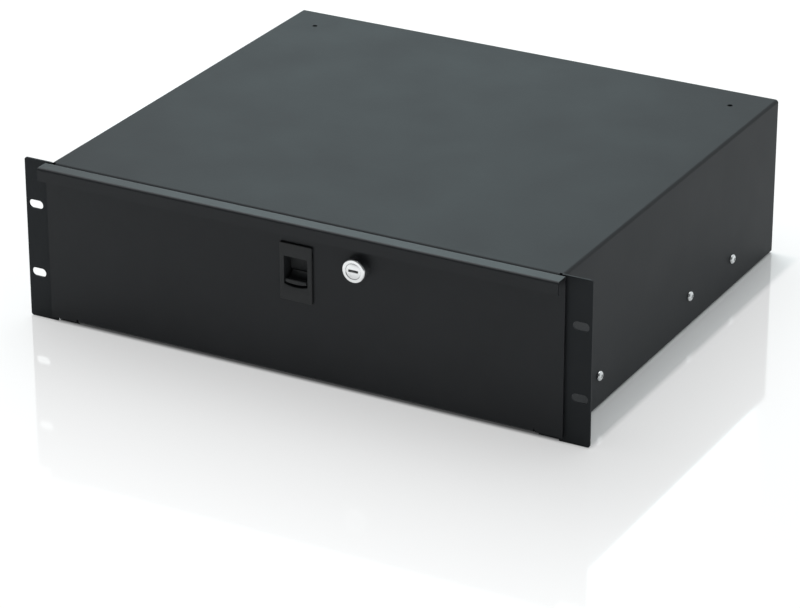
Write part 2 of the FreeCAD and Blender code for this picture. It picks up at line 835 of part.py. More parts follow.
def back_rivets():
    """Rivets through the tray's sides and the back plate's flanges."""
    body = new_body("back_rivets")
    flange_face = tray_inside - size.tray_sheet
    for side in (-1, 1):
        layers = [
            (flange_face - size.rivet_head_height, flange_face, size.rivet_tail),
            (flange_face, tray_side, size.rivet_width),
            (tray_side, tray_side + size.rivet_head_height, size.rivet_head),
        ]
        for near, far, width in layers:
            rounds = [circle(rivet_place, z, width) for z in rivet_levels]
            pad(body, "YZ_Plane", *stations(side, near, far), *rounds)


def drawer_front():
    """Front panel with its pull lip, its foot under the tray and the studs that hold it."""
    body = new_body("drawer_front")
    lip_front = face_front - size.lip_reach
    lip_low = front_top - size.lip_height
    lip_under = front_top - size.sheet
    foot_top = front_foot + size.sheet
    foot_end = face_back + size.foot_depth
    pad(body, "YZ_Plane", -front_side, front_side, outline([
        (lip_front, lip_low), (lip_front, front_top), (face_back, front_top),
        (face_back, foot_top), (foot_end, foot_top), (foot_end, front_foot),
        (face_front, front_foot), (face_front, lip_under),
        (lip_front + size.sheet, lip_under), (lip_front + size.sheet, lip_low),
    ]))
    fillet(body, size.lip_radius + size.sheet,
           {"y": lip_front, "z": front_top}, {"y": face_back, "z": front_top})
    fillet(body, size.lip_radius,
           {"y": lip_front + size.sheet, "z": lip_under}, {"y": face_front, "z": lip_under})
    fillet(body, outer_bend, {"y": face_front, "z": front_foot})
    fillet(body, size.bend_radius, {"y": face_back, "z": foot_top})
    notch_top = front_foot + outer_bend + size.relief_rise
    pocket(body, "XZ_Plane", face_front, foot_end,
           rectangle(foot_side, front_side, front_foot, notch_top),
           rectangle(-front_side, -foot_side, front_foot, notch_top))
    corner_side = foot_side + size.relief_width
    corner_low = front_foot + size.corner_rise
    pad(body, "XZ_Plane", face_front, face_back,
        rectangle(corner_side, front_side, corner_low, notch_top),
        rectangle(-front_side, -corner_side, corner_low, notch_top))
    pocket(body, "XZ_Plane", face_front, face_back, latch_opening(), lock_opening())
    pad(body, "XZ_Plane", face_back, face_back + size.stud_length,
        *[circle(x, z, size.screw_width) for x, z in stud_places])


def front_nuts():
    """Nuts on the drawer front's studs, inside the tray."""
    body = new_body("front_nuts")
    pad(body, "XZ_Plane", front_wall_back, front_wall_back + size.nut_height,
        *[hexagon(x, z, size.nut_width) for x, z in stud_places])
    pocket(body, "XZ_Plane", front_wall_back, front_wall_back + size.nut_height,
           *[circle(x, z, size.screw_width + 2 * size.thread_play) for x, z in stud_places])


# Finger latch. The slider is drawn back here: its tab is low in the window and its bolt clears the keeper.

window_side = size.window_width / 2
window_low = latch_level + size.window_low
window_high = latch_level + size.window_high
window_back = bezel_front + size.window_depth
chamber_front = keeper_rear + size.keeper_gap
slider_front = chamber_front + size.slider_play
slider_back = slider_front + size.bolt_depth
chamber_back = slider_back + size.slider_play
chamber_floor = latch_low + size.chamber_floor
chamber_side = latch_side - size.latch_wall
slider_side = chamber_side - size.slider_play
tab_low = window_low + size.slider_rest
tab_top = tab_low + size.tab_thickness
spring_top = chamber_floor + size.spring_room
bolt_top = keeper_edge - size.bolt_clearance


def latch_housing():
    """Moulded latch body with its bezel, finger recess and slider chamber."""
    body = new_body("latch_housing")
    bezel_side = size.bezel_width / 2
    bezel_low = latch_level - size.bezel_height / 2
    bezel_high = latch_level + size.bezel_height / 2
    pad(body, "XZ_Plane", bezel_front, face_front, rectangle(-bezel_side, bezel_side, bezel_low, bezel_high))
    fillet(body, size.bezel_round, *[{"x": x, "z": z} for x in both_sides(bezel_side)
                                     for z in (bezel_low, bezel_high)])
    fillet(body, size.bezel_round, {"y": bezel_front})
    pad(body, "XZ_Plane", face_front, latch_back, rectangle(-latch_side, latch_side, latch_low, latch_high))
    barb_end = front_wall_back + size.barb_length
    barb_low = latch_level - size.barb_width / 2
    barb_face = latch_side + size.latch_fit + size.barb
    for side in (-1, 1):
        points = [(side * latch_side, front_wall_back), (side * barb_face, front_wall_back),
                  (side * latch_side, barb_end)]
        pad(body, "XY_Plane", barb_low, barb_low + size.barb_width, outline(points))
    pocket(body, "XZ_Plane", bezel_front, window_back,
           rectangle(-window_side, window_side, window_low, window_high))
    pocket(body, "XZ_Plane", bezel_front, chamber_front, bowl(window_side, window_low, size.window_sag))
    arm_room = tab_top + size.latch_travel + size.slider_play
    pocket(body, "XZ_Plane", window_back, chamber_front,
           rectangle(-window_side, window_side, window_low, arm_room))
    pocket(body, "XZ_Plane", chamber_front, chamber_back,
           rectangle(-chamber_side, chamber_side, chamber_floor, latch_high))


def latch_slider():
    """Finger tab and bolt in one piece."""
    body = new_body("latch_slider")
    tab_side = window_side - size.tab_inset
    tab_face = bezel_front + size.tab_recess
    tab_back = tab_face + size.tab_front
    plate_back = slider_front + size.slider_plate
    plate_top = latch_high - size.latch_travel - size.plate_play
    bolt_side = size.bolt_width / 2
    bolt_low = bolt_top - size.bolt_length
    pad(body, "XZ_Plane", slider_front, plate_back, rectangle(-slider_side, slider_side, spring_top, plate_top))
    pad(body, "YZ_Plane", -bolt_side, bolt_side, outline([
        (slider_front, bolt_low), (slider_back, bolt_low), (slider_back, bolt_top - size.bolt_bevel),
        (slider_front + size.bolt_tip, bolt_top), (slider_front, bolt_top),
    ]))
    pad(body, "XZ_Plane", slider_front, slider_back,
        rectangle(-bolt_side, bolt_side, spring_top, spring_top + size.tab_thickness))
    pad(body, "XZ_Plane", tab_face, slider_front, rectangle(-tab_side, tab_side, tab_low, tab_top))
    tab_crest = tab_low + size.tab_height
    pad(body, "XZ_Plane", tab_face, tab_back, rectangle(-tab_side, tab_side, tab_low, tab_crest))
    fillet(body, size.tab_round, {"y": tab_face, "z": tab_crest})
    pad(body, "XZ_Plane", tab_face, tab_back, bowl(tab_side, tab_low, size.tab_sag))


def latch_spring():
    """Compression spring under the slider."""
    coil = (size.spring_width - size.spring_wire) / 2
    wire = size.spring_wire / 2
    centre = (slider_front + slider_back) / 2
    low = chamber_floor + size.spring_wire
    rise = spring_top - size.spring_wire - low
    pitch = rise / size.spring_turns
    helix = doc.addObject("Part::Helix", "spring_helix")
    bind(helix, "Radius", coil)
    bind(helix, "Pitch", pitch)
    bind(helix, "Height", rise)
    bind(helix, "Placement.Base.y", centre)
    bind(helix, "Placement.Base.z", low)
    ring = doc.addObject("Part::RegularPolygon", "spring_section")
    ring.Polygon = 5
    bind(ring, "Circumradius", wire)
    ring.Placement = Placement(Vector(), Rotation(Vector(1, 0, 0), 90))
    bind(ring, "Placement.Base.x", coil)
    bind(ring, "Placement.Base.y", centre)
    bind(ring, "Placement.Base.z", low)
    spring = doc.addObject("Part::Sweep", "latch_spring")
    spring.Label = "latch_spring"
    spring.Sections = [ring]
    spring.Spine = (helix, [])
    spring.Solid = True
    spring.Frenet = True
    doc.recompute()
    check(spring)


# Cam lock


def lock_body():
    """Round head outside the drawer front and threaded barrel through it."""
    body = new_body("lock_body")
    pad(body, "XZ_Plane", lock_front, face_front, circle(size.lock_across, lock_level, size.lock_head))
    chamfer(body, size.lock_head_edge, {"y": lock_front})
    pad(body, "XZ_Plane", face_front, barrel_end, circle(size.lock_across, lock_level, size.lock_barrel))
    pocket(body, "XZ_Plane", lock_front, barrel_end,
           circle(size.lock_across, lock_level, size.plug_width + 2 * size.plug_play))


def lock_nut():
    """Thin nut that clamps the lock from inside the tray."""
    body = new_body("lock_nut")
    end = front_wall_back + size.lock_nut_height
    pad(body, "XZ_Plane", front_wall_back, end, hexagon(size.lock_across, lock_level, size.lock_nut_width))
    pocket(body, "XZ_Plane", front_wall_back, end,
           circle(size.lock_across, lock_level, size.lock_barrel + 2 * size.thread_play))


cam_front = barrel_end + size.cam_gap
cam_back = cam_front + size.cam_sheet


def lock_plug():
    """Plug that the key turns, with the keyway in front and a square tail for the cam behind."""
    body = new_body("lock_plug")
    plug_front = lock_front + size.plug_recess
    tail_side = size.tail_width / 2
    pad(body, "XZ_Plane", plug_front, barrel_end, circle(size.lock_across, lock_level, size.plug_width))
    tail = rectangle(size.lock_across - tail_side, size.lock_across + tail_side,
                     lock_level - tail_side, lock_level + tail_side)
    tail_end = cam_back - size.tail_recess
    pad(body, "XZ_Plane", barrel_end, tail_end, tail)
    pocket(body, "XZ_Plane", plug_front, plug_front + size.keyway_depth,
           slot(size.lock_across, lock_level, size.keyway_width, size.keyway_height))
    pocket(body, "XZ_Plane", cam_back - size.cam_screw_depth - size.screw_room, tail_end,
           circle(size.lock_across, lock_level, size.screw_width + 2 * size.thread_play))


def lock_cam():
    """Flat cam, level while the lock is open."""
    body = new_body("lock_cam")
    half = size.cam_width / 2
    tip = size.lock_across + size.cam_tip
    tail_side = size.tail_width / 2 + size.tail_play
    pad(body, "XZ_Plane", cam_front, cam_back, circle(size.lock_across, lock_level, size.cam_hub * 2))
    pad(body, "XZ_Plane", cam_front, cam_back,
        rectangle(size.lock_across, tip, lock_level - half, lock_level + half))
    fillet(body, size.cam_round, *[{"x": tip, "z": lock_level + z} for z in both_sides(half)])
    hole = rectangle(size.lock_across - tail_side, size.lock_across + tail_side,
                     lock_level - tail_side, lock_level + tail_side)
    pocket(body, "XZ_Plane", cam_front, cam_back, hole)


def lock_cam_screw():
    """Screw that holds the cam on the plug's tail."""
    body = new_body("lock_cam_screw")
    centre = (size.lock_across, lock_level)
    end = cam_back + size.screw_head_height
    pad(body, "XZ_Plane", cam_back, end, circle(*centre, size.screw_head))
    pad(body, "XZ_Plane", cam_back - size.cam_screw_depth, cam_back, circle(*centre, size.screw_width))


housing_shell()
rear_panel()
keeper_angle()
rear_bumpers()
for side, hand in ((1, "right"), (-1, "left")):
    slide_outer(side, hand)
    slide_middle(side, hand)
    slide_inner(side, hand)
    slide_screws(side, hand)
    slide_inner_screws(side, hand)
    outer_web = size.slide_sheet + (size.web_gap - size.cage_sheet) / 2
    inner_web = middle_web + size.middle_sheet + (size.web_gap - size.cage_sheet)
    ball_cage(f"ball_cage_outer_{hand}", side, outer_web, outer_ball_row, size.large_ball)
    ball_cage(f"ball_cage_inner_{hand}", side, inner_web, inner_ball_row, size.small_ball)
drawer_tray()
drawer_back()
back_rivets()
drawer_front()
front_nuts()
latch_housing()
latch_slider()
latch_spring()
lock_body()
lock_nut()
lock_plug()
lock_cam()
lock_cam_screw()
doc.recompute()

os.makedirs("parts", exist_ok=True)
PIECE_TYPES = ("PartDesign::Body", "Part::Sweep")
for item in doc.Objects:
    check(item)
pieces = [item for item in doc.Objects if item.TypeId in PIECE_TYPES]
for piece in pieces:
    if piece.Shape.isNull() or not piece.Shape.isValid() or not piece.Shape.Solids:
        raise RuntimeError(f"{piece.Label} is not a valid solid")
for piece in pieces:
    piece.Shape.exportStep(f"parts/{piece.Label}.step")
print(f"{len(pieces)} pieces written")
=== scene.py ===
import json
import math

import bpy
from mathutils import Matrix, Vector

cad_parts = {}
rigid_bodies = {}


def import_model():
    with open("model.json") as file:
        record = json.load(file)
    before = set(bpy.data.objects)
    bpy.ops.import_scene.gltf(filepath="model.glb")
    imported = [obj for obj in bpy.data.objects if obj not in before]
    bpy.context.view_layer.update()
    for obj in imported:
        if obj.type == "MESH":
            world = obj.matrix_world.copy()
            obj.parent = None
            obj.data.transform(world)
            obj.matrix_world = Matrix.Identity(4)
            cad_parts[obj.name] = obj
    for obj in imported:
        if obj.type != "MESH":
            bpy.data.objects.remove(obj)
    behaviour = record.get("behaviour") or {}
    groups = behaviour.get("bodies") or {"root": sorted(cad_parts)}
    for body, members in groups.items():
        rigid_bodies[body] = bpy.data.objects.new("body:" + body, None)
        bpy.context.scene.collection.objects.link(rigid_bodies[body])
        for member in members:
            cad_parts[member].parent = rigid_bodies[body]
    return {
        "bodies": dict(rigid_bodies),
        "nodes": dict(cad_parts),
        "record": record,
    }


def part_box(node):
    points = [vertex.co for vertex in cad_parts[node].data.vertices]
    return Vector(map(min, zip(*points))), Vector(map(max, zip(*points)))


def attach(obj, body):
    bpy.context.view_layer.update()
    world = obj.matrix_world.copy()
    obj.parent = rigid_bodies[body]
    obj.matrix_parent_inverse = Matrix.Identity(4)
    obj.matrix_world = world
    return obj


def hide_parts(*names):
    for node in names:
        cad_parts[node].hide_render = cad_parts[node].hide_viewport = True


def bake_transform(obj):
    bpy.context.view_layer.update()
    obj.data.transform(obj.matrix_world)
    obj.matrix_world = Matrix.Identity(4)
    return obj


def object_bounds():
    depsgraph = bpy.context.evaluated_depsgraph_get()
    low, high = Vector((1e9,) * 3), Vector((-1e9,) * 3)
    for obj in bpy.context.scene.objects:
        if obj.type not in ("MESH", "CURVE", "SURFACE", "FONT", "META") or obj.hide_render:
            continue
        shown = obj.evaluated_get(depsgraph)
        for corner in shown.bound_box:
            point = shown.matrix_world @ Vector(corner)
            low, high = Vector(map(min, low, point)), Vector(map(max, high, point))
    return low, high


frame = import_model()
nodes = frame["nodes"]
cadLow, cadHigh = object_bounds()
print("frame loaded:", len(nodes), "nodes")


# camera, a few steps to the right of the drawer and above it, with a long lens
camera = {
    "place": (1.2525, -2.1429, 1.1374),
    "azimuth": 28.59,
    "elevation": 24.73,
    "roll": -0.05,
    "lens": 165.2,
    "sensor": 36,
    "farthest": 50,
}

azimuth = math.radians(camera["azimuth"])
elevation = math.radians(camera["elevation"])
back = Vector((
    math.sin(azimuth) * math.cos(elevation),
    -math.cos(azimuth) * math.cos(elevation),
    math.sin(elevation),
))
aim = (-back).to_track_quat("-Z", "Y").to_matrix().to_4x4()
turn = Matrix.Rotation(math.radians(camera["roll"]), 4, "Z")
bpy.ops.object.camera_add(location=camera["place"])
cameraObject = bpy.context.object
cameraObject.name = "camera"
cameraObject.matrix_world = Matrix.Translation(camera["place"]) @ aim @ turn
cameraObject.data.lens = camera["lens"]
cameraObject.data.sensor_width = camera["sensor"]
cameraObject.data.clip_end = camera["farthest"]
bpy.context.scene.camera = cameraObject
print("camera set")


def hexColour(code):
    # sRGB hex to linear, with full alpha
    channels = [int(code[i:i + 2], 16) / 255 for i in (1, 3, 5)]
    linear = [c / 12.92 if c <= 0.04045 else ((c + 0.055) / 1.055) ** 2.4 for c in channels]
    return (*linear, 1.0)


def addNode(tree, kind, settings=None, links=None):
    # settings go to the node, its sockets or its ramp's two stops, and links come from other nodes' outputs
    node = tree.nodes.new(kind)
    for name, value in (settings or {}).items():
        if name == "stops":
            for element, (place, code) in zip(node.color_ramp.elements, value):
                element.position = place
                element.color = hexColour(code)
        elif isinstance(name, str) and hasattr(node, name):
            setattr(node, name, value)
        else:
            node.inputs[name].default_value = value
    for name, output in (links or {}).items():
        tree.links.new(output, node.inputs[name])
    return node


def newMaterial(name):
    material = bpy.data.materials.new(name)
    material.use_nodes = True
    material.node_tree.nodes.clear()
    return material, material.node_tree


# a pattern's scale is how many of it fit in a metre
metre = 1000
# most of a noise texture's values lie between these
noiseLow, noiseHigh = 0.3, 0.7

# powder coat: how far its roughness drifts, the share of grit in its skin, and the skin's depth in metres
coating = {"smoother": 0.03, "rougher": 0.04, "gritShare": 0.5, "depth": 0.0002, "ior": 1.5}


def powderCoat(name, look):
    # polyester powder coat, sprayed and baked: a low orange peel, soft highlights, deep black
    material, tree = newMaterial(name)
    place = addNode(tree, "ShaderNodeTexCoord").outputs["Object"]
    peel = addNode(tree, "ShaderNodeTexNoise", {
        "Scale": metre / look["peelMm"], "Detail": 2.0, "Roughness": 0.5}, {"Vector": place})
    grit = addNode(tree, "ShaderNodeTexVoronoi", {
        "Scale": metre / look["gritMm"], "Randomness": 1.0}, {"Vector": place})
    cloud = addNode(tree, "ShaderNodeTexNoise", {
        "Scale": metre / look["cloudMm"], "Detail": 3.0, "Roughness": 0.6}, {"Vector": place})
    shade = addNode(tree, "ShaderNodeValToRGB", {
        "stops": ((noiseLow, look["dark"]), (noiseHigh, look["light"]))}, {"Fac": cloud.outputs["Fac"]})
    gloss = addNode(tree, "ShaderNodeMapRange", {
        "From Min": noiseLow, "From Max": noiseHigh,
        "To Min": look["roughness"] - coating["smoother"],
        "To Max": look["roughness"] + coating["rougher"]},
        {"Value": cloud.outputs["Fac"]})
    height = addNode(tree, "ShaderNodeMath", {"operation": "MULTIPLY_ADD", 1: coating["gritShare"]},
                     {0: grit.outputs["Distance"], 2: peel.outputs["Fac"]})
    bump = addNode(tree, "ShaderNodeBump", {"Strength": look["bump"], "Distance": coating["depth"]},
                   {"Height": height.outputs[0]})
    shader = addNode(tree, "ShaderNodeBsdfPrincipled", {
        "IOR": coating["ior"], "Specular IOR Level": look["specular"],
        "Specular Tint": hexColour(look["sheen"])}, {
        "Base Color": shade.outputs["Color"],
        "Roughness": gloss.outputs["Result"],
        "Normal": bump.outputs["Normal"]})
    addNode(tree, "ShaderNodeOutputMaterial", {}, {"Surface": shader.outputs[0]})
    return material


# moulding: how far the roughness drifts either way, and the grain's depth in metres
moulding = {"drift": 0.04, "depth": 0.0001, "ior": 1.53}


def mouldedPlastic(name, look):
    # moulded plastic or rubber: even colour, a spark-eroded grain that breaks the highlights up
    material, tree = newMaterial(name)
    place = addNode(tree, "ShaderNodeTexCoord").outputs["Object"]
    grain = addNode(tree, "ShaderNodeTexNoise", {
        "Scale": metre / look["grainMm"], "Detail": 1.0}, {"Vector": place})
    flow = addNode(tree, "ShaderNodeTexNoise", {
        "Scale": metre / look["flowMm"], "Detail": 2.0}, {"Vector": place})
    shade = addNode(tree, "ShaderNodeValToRGB", {
        "stops": ((noiseLow, look["dark"]), (noiseHigh, look["light"]))}, {"Fac": flow.outputs["Fac"]})
    gloss = addNode(tree, "ShaderNodeMapRange", {
        "From Min": noiseLow, "From Max": noiseHigh,
        "To Min": look["roughness"] - moulding["drift"],
        "To Max": look["roughness"] + moulding["drift"]},
        {"Value": flow.outputs["Fac"]})
    bump = addNode(tree, "ShaderNodeBump", {"Strength": look["bump"], "Distance": moulding["depth"]},
                   {"Height": grain.outputs["Fac"]})
    shader = addNode(tree, "ShaderNodeBsdfPrincipled", {
        "IOR": moulding["ior"], "Specular IOR Level": look["specular"]}, {
        "Base Color": shade.outputs["Color"],
        "Roughness": gloss.outputs["Result"],
        "Normal": bump.outputs["Normal"]})
    addNode(tree, "ShaderNodeOutputMaterial", {}, {"Surface": shader.outputs[0]})
    return material


# plating: the roughness of its smoothest and roughest lines as shares of the whole, the lines' depth in
# metres, and the stops between which its colour clouds
plating = {"smoothest": 0.8, "roughest": 1.3, "depth": 0.0001, "clouds": (0.35, 0.65)}


def platedMetal(name, look):
    # plated or bare metal: fine lines from its making run along one axis, and its colour clouds a little
    material, tree = newMaterial(name)
    place = addNode(tree, "ShaderNodeTexCoord").outputs["Object"]
    stretch = addNode(tree, "ShaderNodeMapping", {"Scale": look["stretch"]}, {"Vector": place})
    lines = addNode(tree, "ShaderNodeTexNoise", {
        "Scale": metre / look["lineMm"], "Detail": 2.0}, {"Vector": stretch.outputs["Vector"]})
    cloud = addNode(tree, "ShaderNodeTexNoise", {
        "Scale": metre / look["cloudMm"], "Detail": 3.0}, {"Vector": place})
    cloudLow, cloudHigh = plating["clouds"]
    shade = addNode(tree, "ShaderNodeValToRGB", {
        "stops": ((cloudLow, look["dark"]), (cloudHigh, look["light"]))}, {"Fac": cloud.outputs["Fac"]})
    gloss = addNode(tree, "ShaderNodeMapRange", {
        "From Min": noiseLow, "From Max": noiseHigh,
        "To Min": look["roughness"] * plating["smoothest"],
        "To Max": look["roughness"] * plating["roughest"]},
        {"Value": lines.outputs["Fac"]})
    bump = addNode(tree, "ShaderNodeBump", {"Strength": look["bump"], "Distance": plating["depth"]},
                   {"Height": lines.outputs["Fac"]})
    shader = addNode(tree, "ShaderNodeBsdfPrincipled", {"Metallic": 1.0}, {
        "Base Color": shade.outputs["Color"],
        "Roughness": gloss.outputs["Result"],
        "Normal": bump.outputs["Normal"]})
    addNode(tree, "ShaderNodeOutputMaterial", {}, {"Surface": shader.outputs[0]})
    return material


# patterns' sizes are in mm; grit, grain and lines are drawn coarser than the real ones, so that they show
finishes = {
    # the housing's sheet, sprayed after folding: satin black that spreads the light over its faces
    "housing_paint": powderCoat("powderCoatBlackHousing", {
        "dark": "#252628", "light": "#2a2b2d", "roughness": 0.5, "specular": 0.11, "sheen": "#f0fcff",
        "peelMm": 2.4, "gritMm": 1.1, "cloudMm": 60, "bump": 0.18}),
    # the drawer's own batch, a shade deeper and glossier
    "drawer_paint": powderCoat("powderCoatBlackDrawer", {
        "dark": "#212224", "light": "#262729", "roughness": 0.38, "specular": 0.20, "sheen": "#f8fafc",
        "peelMm": 2.4, "gritMm": 1.1, "cloudMm": 70, "bump": 0.18}),
    # strip rolled into channels, then zinc plated: a soft grey shine drawn out along the slide
    "slide_zinc": platedMetal("zincPlatedRolledSteel", {
        "dark": "#bcbfc2", "light": "#cccecf", "roughness": 0.3, "bump": 0.04,
        "stretch": (1, 0.08, 1), "lineMm": 3.0, "cloudMm": 45}),
    # balls and their strips, polished bright: sharp reflections
    "cage_steel": platedMetal("polishedBearingSteel", {
        "dark": "#a9abad", "light": "#c4c6c8", "roughness": 0.12, "bump": 0.05,
        "stretch": (1, 0.2, 1), "lineMm": 1.5, "cloudMm": 15}),
    # screws and nuts, barrel plated: bright, with small clouds
    "zinc_hardware": platedMetal("brightZincPlatedSteel", {
        "dark": "#c6c8c9", "light": "#dcdddd", "roughness": 0.2, "bump": 0.06,
        "stretch": (1, 1, 1), "lineMm": 1.2, "cloudMm": 6}),
    # rivets left bare: pale and a little dull
    "rivet_metal": platedMetal("plainAluminiumRivet", {
        "dark": "#b3b5b7", "light": "#c8c9ca", "roughness": 0.3, "bump": 0.08,
        "stretch": (1, 1, 1), "lineMm": 1.2, "cloudMm": 5}),
    # bumpers, moulded: matt and near black
    "bumper_rubber": mouldedPlastic("mouldedNitrileRubber", {
        "dark": "#161616", "light": "#1c1c1c", "roughness": 0.75, "specular": 0.3,
        "grainMm": 1.2, "flowMm": 10, "bump": 0.2}),
    # latch, injection moulded: an even satin black with a fine grain
    "latch_plastic": mouldedPlastic("mouldedBlackAbs", {
        "dark": "#28292a", "light": "#2d2e2f", "roughness": 0.42, "specular": 0.2,
        "grainMm": 0.9, "flowMm": 20, "bump": 0.12}),
    # spring, cold drawn and coiled: dark grey with a dull gleam
    "spring_steel": platedMetal("drawnSpringWire", {
        "dark": "#8d8f91", "light": "#a7a9aa", "roughness": 0.25, "bump": 0.05,
        "stretch": (1, 1, 1), "lineMm": 1.0, "cloudMm": 4}),
    # lock, cast and satin chromed: its brushing lies in rings that spread the shine
    "lock_chrome": platedMetal("satinChromedZincCasting", {
        "dark": "#e4e4e4", "light": "#ececec", "roughness": 0.2, "bump": 1.0,
        "stretch": (0.02, 1, 0.02), "lineMm": 0.8, "cloudMm": 12}),
}
print("materials made:", len(finishes))


slotOfNode = {part["node"]: part["material_slot"] for part in frame["record"]["subparts"]}
for name, node in nodes.items():
    material = finishes[slotOfNode[name]]
    node.data.materials.clear()
    node.data.materials.append(material)
print("nodes painted")


# the pieces' sizes are in mm, and Blender's in metres
mm = 0.001
# points this near each other, in metres, are one point
mergeGap = 1e-6
# a face looks along an axis where its normal's share of it is past this
facing = 0.9
# in degrees: edges flatter than these are no edges, or are shaded smooth
flatWithin, smoothWithin = 0.5, 30
bodyOfNode = {
    name: next(body for body, empty in frame["bodies"].items() if node.parent == empty)
    for name, node in nodes.items()
}
axisWay = {"x": Vector((1, 0, 0)), "y": Vector((0, 1, 0))}


def selectOnly(thing):
    bpy.ops.object.select_all(action="DESELECT")
    thing.select_set(True)
    bpy.context.view_layer.objects.active = thing


def applyPlace(thing):
    selectOnly(thing)
    bpy.ops.object.transform_apply(location=True, rotation=True, scale=True)


def editAll():
    # into edit mode with all of the active piece chosen
    bpy.ops.object.mode_set(mode="EDIT")
    bpy.ops.mesh.select_mode(type="VERT")
    bpy.ops.mesh.select_all(action="SELECT")


def pick(thing, test):
    # back in edit mode with only the faces chosen whose middle and normal pass the test
    bpy.ops.mesh.select_mode(type="FACE")
    bpy.ops.mesh.select_all(action="DESELECT")
    bpy.ops.object.mode_set(mode="OBJECT")
    for face in thing.data.polygons:
        face.select = test(face.center / mm, face.normal)
    bpy.ops.object.mode_set(mode="EDIT")


def resizeFaces(thing, test, value, centre):
    # the faces that pass the test are resized about a point in mm
    bpy.ops.object.mode_set(mode="EDIT")
    pick(thing, test)
    bpy.ops.transform.resize(value=value, center_override=Vector(centre) * mm)
    bpy.ops.object.mode_set(mode="OBJECT")


def tidyMesh(thing):
    # doubles merged and every face turned outwards
    selectOnly(thing)
    editAll()
    bpy.ops.mesh.remove_doubles(threshold=mergeGap)
    bpy.ops.mesh.normals_make_consistent(inside=False)
    bpy.ops.object.mode_set(mode="OBJECT")


def turnPiece(name, axis, centre, stations, sides=40, bored=False):
    # turned on a lathe: stations are (place along the axis, radius) in mm; a bored one ends where it starts
    way = axisWay[axis]
    across = Vector((1, 1, 1)) - way
    centre = Vector(centre)
    start, radius = stations[0]
    bpy.ops.object.select_all(action="DESELECT")
    bpy.ops.mesh.primitive_circle_add(
        vertices=sides, radius=radius * mm, fill_type="NOTHING" if bored else "NGON",
        location=(centre + way * start) * mm, rotation=way.to_track_quat("Z", "Y").to_euler())
    piece = bpy.context.object
    piece.name = name
    applyPlace(piece)
    editAll()
    for (near, before), (far, after) in zip(stations, stations[1:]):
        bpy.ops.mesh.extrude_region_move(TRANSFORM_OT_translate={"value": way * (far - near) * mm})
        bpy.ops.transform.resize(
            value=way + across * (after / before), center_override=(centre + way * far) * mm)
    bpy.ops.object.mode_set(mode="OBJECT")
    tidyMesh(piece)
    return piece


def combine(piece, tool, operation="DIFFERENCE"):
    # a boolean with a tool that is thrown away afterwards
    selectOnly(piece)
    change = piece.modifiers.new("combine", "BOOLEAN")
    change.operation = operation
    change.object = tool
    change.solver = "EXACT"
    bpy.ops.object.modifier_apply(modifier=change.name)
    bpy.data.objects.remove(tool, do_unlink=True)


def soften(piece, width, segments=2, angle=35):
    # a small rounding along every sharp edge
    selectOnly(piece)
    edge = piece.modifiers.new("soften", "BEVEL")
    edge.width = width * mm
    edge.segments = segments
    edge.limit_method = "ANGLE"
    edge.angle_limit = math.radians(angle)
    bpy.ops.object.modifier_apply(modifier=edge.name)


def block(name, low, high):
    # a block between two corners in mm, to be shaped further
    low, high = Vector(low), Vector(high)
    bpy.ops.object.select_all(action="DESELECT")
    bpy.ops.mesh.primitive_cube_add(size=1, location=(low + high) / 2 * mm, scale=(high - low) * mm)
    piece = bpy.context.object
    piece.name = name
    applyPlace(piece)
    return piece


def joinPieces(piece, others):
    # all in one object, under the first one's name
    selectOnly(piece)
    for other in others:
        other.select_set(True)
    bpy.ops.object.join()


def repeatPiece(piece, shifts):
    # the piece and copies of it, each with its own mesh, joined as one
    copies = []
    for shift in shifts[1:]:
        selectOnly(piece)
        bpy.ops.object.duplicate()
        copy = bpy.context.object
        copy.location = Vector(shift) * mm
        applyPlace(copy)
        copies.append(copy)
    piece.location = Vector(shifts[0]) * mm
    applyPlace(piece)
    joinPieces(piece, copies)


def mirrorPiece(piece, name):
    # the left-hand twin
    selectOnly(piece)
    bpy.ops.object.duplicate()
    twin = bpy.context.object
    twin.name = name
    twin.scale = (-1, 1, 1)
    applyPlace(twin)
    tidyMesh(twin)
    return twin


def looseCopy(node, name):
    # a merged copy of a CAD node, free of its body, its flat faces whole, to be shaped further
    selectOnly(nodes[node])
    bpy.ops.object.duplicate()
    piece = bpy.context.object
    piece.name = name
    for key in list(piece.keys()):
        del piece[key]
    bpy.ops.object.parent_clear(type="CLEAR_KEEP_TRANSFORM")
    bpy.ops.mesh.customdata_custom_splitnormals_clear()
    editAll()
    bpy.ops.mesh.remove_doubles(threshold=mergeGap)
    bpy.ops.mesh.dissolve_limited(angle_limit=math.radians(flatWithin))
    bpy.ops.object.mode_set(mode="OBJECT")
    return piece


def finishPiece(piece, node):
    # smooth shading, the node's own finish and body, and the node hidden
    selectOnly(piece)
    bpy.ops.object.shade_smooth_by_angle(angle=math.radians(smoothWithin))
    piece.data.name = piece.name
    piece.data.materials.clear()
    piece.data.materials.append(finishes[slotOfNode[node]])
    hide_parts(node)
    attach(piece, bodyOfNode[node])


# how far every cross recess is turned, in degrees
crossTurn = 20


def crossRecess(piece, face, axis, sign, look):
    # two tapered blades that cross, as a driver's point leaves them
    way = axisWay[axis] * sign
    long, wide, deep, taper = look["long"] / 2, look["wide"] / 2, look["deep"], look["taper"]
    for quarter in (0, 90):
        blade = block("blade", (-long, -wide, -deep), (long, wide, deep))
        resizeFaces(blade, lambda middle, normal: normal.z < -facing, (taper, taper, 1), (0, 0, -deep))
        turned = way.to_track_quat("Z", "Y").to_matrix() @ Matrix.Rotation(
            math.radians(quarter + crossTurn), 3, "Z")
        blade.matrix_world = Matrix.Translation(Vector(face) * mm) @ turned.to_4x4()
        applyPlace(blade)
        combine(piece, blade)


def profile(start, core, steps):
    # stations from (how far past the start, how much wider than the core) pairs
    return [(start + along, core + wider) for along, wider in steps]


